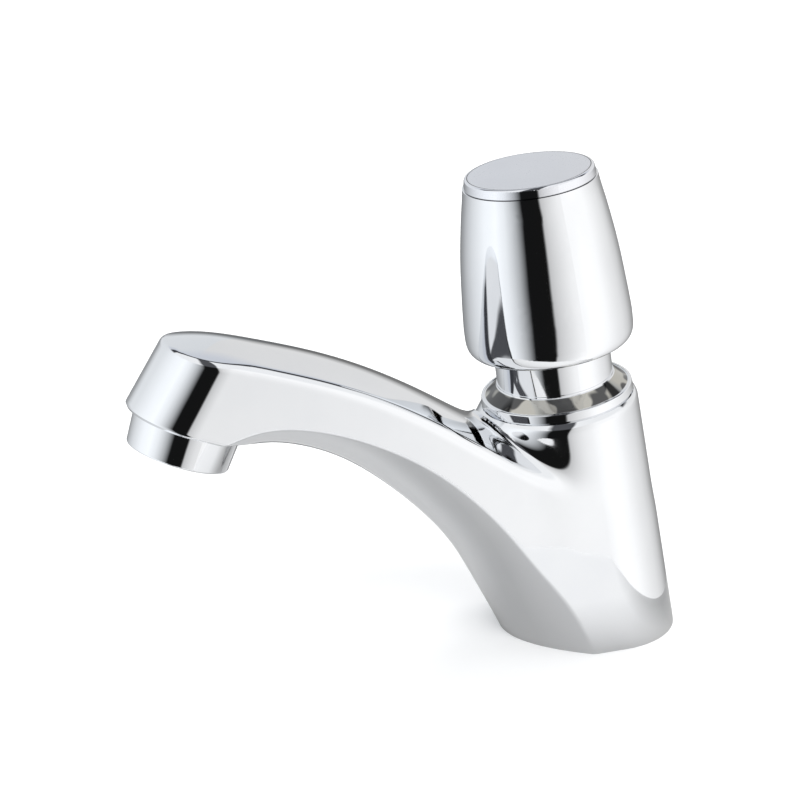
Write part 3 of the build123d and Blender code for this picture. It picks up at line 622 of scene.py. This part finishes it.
def meet_surface(inner, outer, angle, nearest=2.0, farthest=64.0, tries=31, halvings=20):
    """Points where rays at the given angles, one row of them per plane, leave the metal."""
    middle = (inner + outer) / 2
    line = outer - inner
    line = line / np.linalg.norm(line, axis=1)[:, None]
    side, up = np.cos(angle), np.sin(angle)

    def outside(distance):
        y = middle[:, :1] + up * line[:, :1] * distance
        z = middle[:, 1:] + up * line[:, 1:] * distance
        return body_field(side * distance, y, z) + 1e-3 < 0

    low, high = np.zeros(angle.shape), np.full(angle.shape, farthest)
    found = np.zeros(angle.shape, dtype=bool)
    for distance in np.linspace(nearest, farthest, tries):
        out = outside(np.full(angle.shape, distance))
        high = np.where(out & ~found, distance, high)
        found |= out
        low = np.where(found, low, distance)
    for _ in range(halvings):
        half = (low + high) / 2
        out = outside(half)
        high, low = np.where(out, half, high), np.where(out, low, half)
    distance = (low + high) / 2
    y = middle[:, :1] + up * line[:, :1] * distance
    z = middle[:, 1:] + up * line[:, 1:] * distance
    return np.stack([side * distance, y, z], axis=-1)


def body_grid(counts, columns, first=140):
    """Right half of the surface; a step's weight is its share of length plus half that of turn."""
    inner, outer, chord = fan_lines(*counts)
    last = np.arctan2(np.linalg.norm(outer - inner, axis=1) / 2, chord)
    angle = (last + math.pi / 2)[:, None] * np.linspace(0, 1, first)[None] - math.pi / 2
    rough = meet_surface(inner, outer, angle, halvings=14)
    step = np.diff(rough, axis=1)
    length = np.linalg.norm(step, axis=2)
    step = step / np.maximum(length, 1e-9)[..., None]
    turn = np.zeros(length.shape)
    turn[:, 1:] = np.arccos(np.clip((step[:, 1:] * step[:, :-1]).sum(axis=-1), -1, 1))
    turn[:, :-1] += turn[:, 1:]
    weight = length / length.sum(axis=1, keepdims=True)
    weight += 0.5 * turn / np.maximum(turn.sum(axis=1, keepdims=True), 1e-6)
    for _ in range(6):
        weight[1:-1] = (weight[:-2] + 2 * weight[1:-1] + weight[2:]) / 4
    share = np.concatenate([np.zeros((len(weight), 1)), np.cumsum(weight, axis=1)], axis=1)
    share = share / share[:, -1:]
    row = 2.0 * np.arange(len(share))[:, None]
    wanted = np.linspace(0, 1, columns)[None] + row
    angle = np.interp(wanted.ravel(), (share + row).ravel(), angle.ravel())
    return meet_surface(inner, outer, angle.reshape(len(share), columns))


body_right = body_grid(fan_counts, fan_columns)
body_left = body_right[:, :0:-1] * np.array([-1.0, 1.0, 1.0])
body_points = np.concatenate([body_left, body_right], axis=1)
print("body grid", body_points.shape)

# %% [markdown]
# Round surfaces share one function: rows of radius and height turned about an axis. The body's
# inner faces use it too: from the outline on the deck in to the foot's groove and the shank's
# socket, from the lip in to the outlet's bore, and from the mouth's rim down the sleeve's bore.


# %% Meshes from grids
def grid_quads(rows, columns, closed=False, start=0):
    """Corner numbers of the quads of a grid; a closed grid joins its last column to its first."""
    row = np.arange(rows - 1)[:, None] * columns + start
    across = np.arange(columns if closed else columns - 1)[None]
    after = (across + 1) % columns
    return np.stack(
        [row + across, row + after, row + columns + after, row + columns + across], axis=-1
    ).reshape(-1, 4)


def true_normals(mesh, field, step=0.05, alike=0.9):
    """Corner normals down the field's slope; a face that the field doesn't make keeps its own."""
    count = len(mesh.vertices)
    place = np.empty(count * 3)
    mesh.vertices.foreach_get("co", place)
    place = place.reshape(-1, 3) / MM
    slope = np.stack(
        [
            field(*(place - step * axis).T) - field(*(place + step * axis).T)
            for axis in np.eye(3)
        ],
        axis=1,
    )
    slope = slope / np.maximum(np.linalg.norm(slope, axis=1), 1e-9)[:, None]
    corner = np.empty(len(mesh.loops), dtype=np.int32)
    mesh.loops.foreach_get("vertex_index", corner)
    own = np.empty(len(mesh.loops) * 3)
    mesh.corner_normals.foreach_get("vector", own)
    own = own.reshape(-1, 3)
    agrees = (own * slope[corner]).sum(axis=1) > alike
    mesh.normals_split_custom_set(np.where(agrees[:, None], slope[corner], own).tolist())
    print("corners with the field's own normal", int(agrees.sum()), "of", len(agrees))


def mesh_piece(name, parts, finish, body, sharp=32.0, field=None):
    """Object from (points in millimetres, quads) parts, welded, with sharp edges over an angle."""
    points = np.concatenate([part[0].reshape(-1, 3) for part in parts]) * MM
    offsets = np.cumsum([0] + [part[0].reshape(-1, 3).shape[0] for part in parts[:-1]])
    quads = np.concatenate([part[1] + offset for part, offset in zip(parts, offsets)])
    mesh = bpy.data.meshes.new(name)
    mesh.from_pydata(points.tolist(), [], quads.tolist())
    shape = bmesh.new()
    shape.from_mesh(mesh)
    bmesh.ops.remove_doubles(shape, verts=shape.verts, dist=2e-6)
    bmesh.ops.dissolve_degenerate(shape, edges=shape.edges, dist=1e-7)
    bmesh.ops.recalc_face_normals(shape, faces=shape.faces)
    limit = math.radians(sharp)
    for edge in shape.edges:
        edge.smooth = edge.is_manifold and edge.calc_face_angle(0.0) < limit
    for face in shape.faces:
        face.smooth = True
    shape.to_mesh(mesh)
    shape.free()
    if field is not None:
        true_normals(mesh, field)
    mesh.materials.append(finishes[finish])
    made = bpy.data.objects.new(name, mesh)
    scene.collection.objects.link(made)
    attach(made, body)
    print(name, len(mesh.polygons), "faces")
    return made


def circle_like(loop, centre, side, other, radius):
    """Circle in a plane, each point at the same angle round the centre as the loop's point."""
    angle = np.arctan2((loop - centre) @ other, (loop - centre) @ side)
    return centre + radius * (np.cos(angle)[:, None] * side + np.sin(angle)[:, None] * other)


def inward(loop, foot, axis, profile):
    """Rows from a loop to circles about an axis, given as (radius, height) pairs."""
    sideways = np.array([1.0, 0.0, 0.0])
    other = np.cross(axis, sideways)
    circles = [
        circle_like(loop, foot + axis * height, sideways, other, radius)
        for radius, height in profile
    ]
    points = np.stack([loop] + circles)
    return points, grid_quads(points.shape[0], points.shape[1])


upright = np.array([0.0, 0.0, 1.0])
shell = (body_points, grid_quads(*body_points.shape[:2]))

# Profiles of the holes as (radius, height): the foot's groove and socket, the outlet, the mouth
groove_outer, groove_inner, groove_depth = 19.3, 13.2, 1.85
socket_radius, socket_depth, passage_radius = 10.55, 10.0, 7.5
foot_profile = [
    (groove_outer, 0),
    (groove_outer, groove_depth),
    (groove_inner, groove_depth),
    (groove_inner, 0),
    (socket_radius, 0),
    (socket_radius, socket_depth),
    (passage_radius, socket_depth),
]
foot_inside = inward(body_points[0], np.zeros(3), upright, foot_profile)
lip_profile = [(11.0, 0), (11.0, 9.5), (9.0, 9.5), (9.0, 14.5), (0.1, 14.5)]
lip_inside = inward(body_points[-1], lip_mm, outlet_axis, lip_profile)
mouth_rows = slice(fan_counts[0] - 1, fan_counts[0] + fan_counts[1] - 1)
mouth_loop = np.concatenate([body_points[mouth_rows, -1], body_points[mouth_rows, 0][-2::-1]])
mouth_profile = [(13.15, 0), (13.15, -16.8), (12.2, -16.8), (12.2, -38.8), (7.5, -38.8)]
mouth_inside = inward(mouth_loop, mouth_mm, head_axis, mouth_profile)
body_piece = mesh_piece(
    "tap_body_casting",
    [shell, foot_inside, lip_inside, mouth_inside],
    "chrome_plate",
    "tap_body",
    field=body_field,
)
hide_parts("body_casting")

# %% [markdown]
# ## Trim ring
# The ring on the shoulder has a thin bright rim over a shadow line, and a collar that flares from
# the sleeve's foot down to the rim. The collar is flatter than the solid's. The collar mirrors the
# bright room, so its dark and beige patches are a painted reflection in its colour. The rim's top
# outer edge is a small quarter round, and the whole ring is one profile turned about the head's
# axis.


# %% Trim ring
def quarter(centre, radius, start, count=6):
    """Quarter round in (radius, height), counter-clockwise from an angle in degrees."""
    turn = np.radians(np.linspace(start, start + 90, count))
    return [(centre[0] + radius * math.cos(a), centre[1] + radius * math.sin(a)) for a in turn]


def turned_part(profile, foot, axis, segments=192):
    """Closed (radius, height) profile turned about an axis through a foot."""
    turn = np.linspace(0, 2 * math.pi, segments + 1)[:, None]
    other = np.cross(axis, [1.0, 0.0, 0.0])
    loop = foot + np.cos(turn) * np.array([1.0, 0.0, 0.0]) + np.sin(turn) * other
    rows = inward(loop, foot, axis, profile + profile[:1])[0][1:]
    return rows, grid_quads(rows.shape[0], rows.shape[1])


# Sizes in millimetres, heights from the mouth; the collar rises by its slope and its bend
ring_bore, shadow_radius, shadow_height = 13.25, 18.4, 0.42
rim_radius, rim_low, rim_centre, rim_round = 19.02, 0.5, (18.47, 2.15), 0.35
collar_foot, collar_inner, collar_top = (17.9, 2.3), 14.6, 5.5
collar_width, collar_slope, collar_bend = 3.3, 0.754, 0.0347
rim_profile = [(ring_bore, 0.0), (shadow_radius, 0.0), (shadow_radius, shadow_height)]
rim_profile += [(rim_radius, rim_low)] + quarter(rim_centre, rim_round, 0)
rim_profile += [(18.1, 2.5), (18.0, 2.3)]
flare = np.linspace(0, collar_width, 12)
climb = collar_slope * flare + collar_bend * flare**2
rim_profile += list(zip(collar_foot[0] - flare, collar_foot[1] + climb))
rim_profile += [(collar_inner, collar_top), (ring_bore, collar_top)]
# The ring's finish carries the collar's painted reflection
ring_piece = mesh_piece(
    "trim_ring", [turned_part(rim_profile, mouth_mm, head_axis)], "shaded_chrome", "tap_body"
)
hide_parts("bezel_ring")

# %% [markdown]
# ## Camera
# The camera stands where the photograph's was found to be: 68 degrees round from the way the spout
# points, 19 degrees up and half a metre off. Place and lens were fitted together to the cap, the
# foot and the outlet ring.

# %% Camera
focal_pixels, picture_pixels, film_width = 2077.6, 800.0, 36.0
camera_azimuth = math.radians(68.1)
camera_elevation = math.radians(18.8)
camera_distance = 502.1 * MM
camera_target = np.array([0.0, -53.0, 66.0]) * MM
toward_camera = np.array(
    [
        math.sin(camera_azimuth) * math.cos(camera_elevation),
        -math.cos(camera_azimuth) * math.cos(camera_elevation),
        math.sin(camera_elevation),
    ]
)
camera_place = camera_target + camera_distance * toward_camera


def frame_of(direction):
    """Rotation matrix whose local z is the direction and whose local y points up."""
    return Vector(direction).to_track_quat("Z", "Y").to_matrix().to_4x4()


lens = bpy.data.cameras.new("photo_camera")
lens.sensor_width = film_width
lens.lens = focal_pixels / picture_pixels * film_width
camera = bpy.data.objects.new("photo_camera", lens)
scene.collection.objects.link(camera)
camera.matrix_world = frame_of(toward_camera)
camera.location = camera_place
scene.camera = camera
print("camera at", [round(float(v), 3) for v in camera_place])

# %% [markdown]
# ## Studio
# Chrome shows only its surroundings. Along the cap, the photograph reads like a strip of the room
# unrolled: black straight behind the camera, a bright soft wall on either side, and a duller room
# behind the tap. The world repeats that strip as two ramps over the azimuth, one at the table's
# level and one higher up. Overhead is a soft white light with a dark gap in it, then a dark
# cornice, and behind it a cool grey ceiling. The levels were set by trial until the render looked
# like the photograph, so the room isn't a measured one.

# %% Room in reflections
# Stops of each strip as (degrees from the camera, level)
low_strip = [
    (-180, 0.16),
    (-150, 0.40),
    (-135, 0.60),
    (-118, 0.80),
    (-88, 1.08),
    (-66, 1.16),
    (-50, 0.98),
    (-40, 0.74),
    (-32, 0.50),
    (-26, 0.26),
    (-20, 0.008),
    (8, 0.008),
    (11, 0.62),
    (18, 0.74),
    (32, 0.92),
    (48, 1.12),
    (64, 1.22),
    (84, 1.14),
    (104, 0.96),
    (118, 0.86),
    (132, 0.70),
    (150, 0.40),
    (180, 0.16),
]
high_strip = [
    (-180, 0.78),
    (-120, 0.86),
    (-88, 1.08),
    (-66, 1.16),
    (-50, 0.98),
    (-40, 0.74),
    (-32, 0.50),
    (-26, 0.26),
    (-20, 0.008),
    (8, 0.008),
    (11, 0.62),
    (18, 0.80),
    (48, 1.12),
    (84, 1.14),
    (120, 0.92),
    (180, 0.78),
]
brightest = 1.25
ceiling = (0.66, 0.69, 0.75, 1.0)
soft_top = (0.98, 0.99, 1.0, 1.0)
dusk = (0.09, 0.092, 0.1, 1.0)
cornice = (0.05, 0.052, 0.058, 1.0)

# Fades as (from, to, value before, value after): by height, by the way from the camera over the
# top (0 at the camera, 1 behind the tap), and by the distance aside from that way
strip_change, wall_top = (-0.05, 0.12, 0.0, 1.0), (0.50, 0.62, 0.0, 1.0)
gap_narrowing, cornice_start = (0.30, 0.60, 1.0, 0.35), (0.60, 0.63, 0.0, 1.0)
cornice_end = (0.70, 0.73, 0.0, 1.0)
gap_left, gap_right = (-0.40, -0.30, 0.0, 1.0), (0.10, 0.16, 1.0, 0.0)

world = bpy.data.worlds.new("studio")
scene.world = world
world.use_nodes = True
room = world.node_tree
coordinates = room.nodes.new("ShaderNodeTexCoord")
direction = Wires(room, coordinates.outputs["Generated"])
view_right = (math.cos(camera_azimuth), math.sin(camera_azimuth), 0.0)
view_level = (math.sin(camera_azimuth), -math.cos(camera_azimuth), 0.0)


def strip_colour(wire, stops):
    """Colour of the room's strip from (degrees, level) stops, a little cooler on the left."""
    made = room.nodes.new("ShaderNodeValToRGB")
    room.links.new(wire.socket, made.inputs["Fac"])
    elements = made.color_ramp.elements
    elements.remove(elements[-1])
    for index, (degrees, level) in enumerate(stops):
        place = (degrees + 180) / 360
        stop = elements[0] if index == 0 else elements.new(place)
        stop.position = place
        cool = 1.03 if degrees < 0 else 1.0
        shade = level / brightest
        stop.color = (shade / cool, shade, shade * cool, 1.0)
    colour = Wires(room, made.outputs["Color"])
    return colour.node(
        "ShaderNodeVectorMath", {"operation": "SCALE"}, {"Vector": colour, "Scale": brightest}
    )


azimuth = along(direction, view_right).maths("ARCTAN2", along(direction, view_level))
turned = azimuth / (2 * math.pi) + 0.5
rise = along(direction, (0.0, 0.0, 1.0))
walls = mix_colour(
    turned,
    ramp(rise, *strip_change),
    strip_colour(turned, low_strip),
    strip_colour(turned, high_strip),
)
over = rise.maths("ARCTAN2", along(direction, view_level)) / math.pi
aside = along(direction, view_right)
aside = aside / ramp(over, *gap_narrowing)
gap = ramp(aside, *gap_left) * ramp(aside, *gap_right)
lit_top = mix_colour(rise, gap, soft_top, dusk)
back = mix_colour(rise, ramp(over, *cornice_end), cornice, ceiling)
overhead = mix_colour(rise, ramp(over, *cornice_start), lit_top, back)
seen = mix_colour(rise, ramp(rise, *wall_top), walls, overhead)
background = room.nodes["Background"]
room.links.new(seen.socket, background.inputs["Color"])
background.inputs["Strength"].default_value = 1.0
print("studio strips", len(low_strip), len(high_strip), "stops")

# %% [markdown]
# The camera sees a wide pale floor, and the chrome mirrors a small table in its place, just below
# it. The table is small because the black strip ends in the reflections where the table begins. Its
# colour is painted light and shade: it is darkest along the tap, grows lighter to the tap's right
# and, a little, to its left, and darker behind it. Two soft lights from above give the floor its
# faint shadow and stay out of the reflections.

# %% Table, floor and lights
table_centre = np.array([18.0, -52.0, 0.0]) * MM
table_radius, table_drop, floor_radius, pinhole = 0.098, 0.0004, 4.0, 1e-5

# Painted light and shade of the table in millimetres: (from, to, level before, level after)
right_light_and_shade, left_light_and_shade = (12.0, 55.0, 0.50, 0.84), (-40.0, 5.0, 0.16, 0.0)
rear_shade = (20.0, 40.0, 1.0, 0.75)


def disc_stage(name, radius, colour, drop=0.0, glow=0.0, painted_light_and_shade=False, segments=96):
    """Flat matt disc on the deck plane or a little below it, as a ring round a tiny hole."""
    turn = np.linspace(0, 2 * math.pi, segments, endpoint=False)
    rim = np.stack([np.cos(turn), np.sin(turn), np.zeros(segments)], axis=1)
    points = np.concatenate([rim * pinhole, rim * radius]) + table_centre
    points[:, 2] -= drop
    mesh = bpy.data.meshes.new(name)
    mesh.from_pydata(points.tolist(), [], grid_quads(2, segments, closed=True).tolist())
    mesh.flip_normals()
    made = bpy.data.objects.new(name, mesh)
    scene.collection.objects.link(made)
    material, shader, at = new_material(name)
    shader.inputs["Base Color"].default_value = (*colour, 1.0)
    # The table's colour is painted light and shade: darkest along the tap, lighter to its right,
    # darker behind
    if painted_light_and_shade:
        off = along(at, (1 / MM, 0.0, 0.0))
        shade = ramp(off, *right_light_and_shade) + ramp(off, *left_light_and_shade)
        behind = ramp(along(at, (0.0, 1 / MM, 0.0)), *rear_shade)
        connect(shade * behind, shader, "Base Color")
    shader.inputs["Roughness"].default_value = 0.9
    shader.inputs["Specular IOR Level"].default_value = 0.0
    shader.inputs["Emission Color"].default_value = (1.0, 1.0, 1.0, 1.0)
    shader.inputs["Emission Strength"].default_value = glow
    mesh.materials.append(material)
    return made


def soft_light(name, place, size, watts):
    """Round area light that looks at the tap and stays out of its reflections."""
    data = bpy.data.lights.new(name, "AREA")
    data.shape = "DISK"
    data.size = size
    data.energy = watts
    made = bpy.data.objects.new(name, data)
    scene.collection.objects.link(made)
    made.matrix_world = frame_of(np.array(place) - camera_target)
    made.location = place
    made.visible_camera = False
    made.visible_glossy = False
    return made


floor = disc_stage("floor", floor_radius, (0.93, 0.93, 0.93), glow=0.10)
floor.visible_glossy = False
floor.visible_shadow = False
# The table's colour carries painted light and shade round the tap
table = disc_stage("table", table_radius, (0.8, 0.8, 0.8), drop=table_drop, painted_light_and_shade=True)
table.visible_camera = False
table.visible_diffuse = False
soft_light("key_light", (0.9, -0.5, 1.3), 0.9, 12.0)
soft_light("fill_light", (-0.7, 0.7, 1.2), 1.2, 11.0)
scene.view_settings.view_transform = "Standard"
print("table", table_radius, "m")
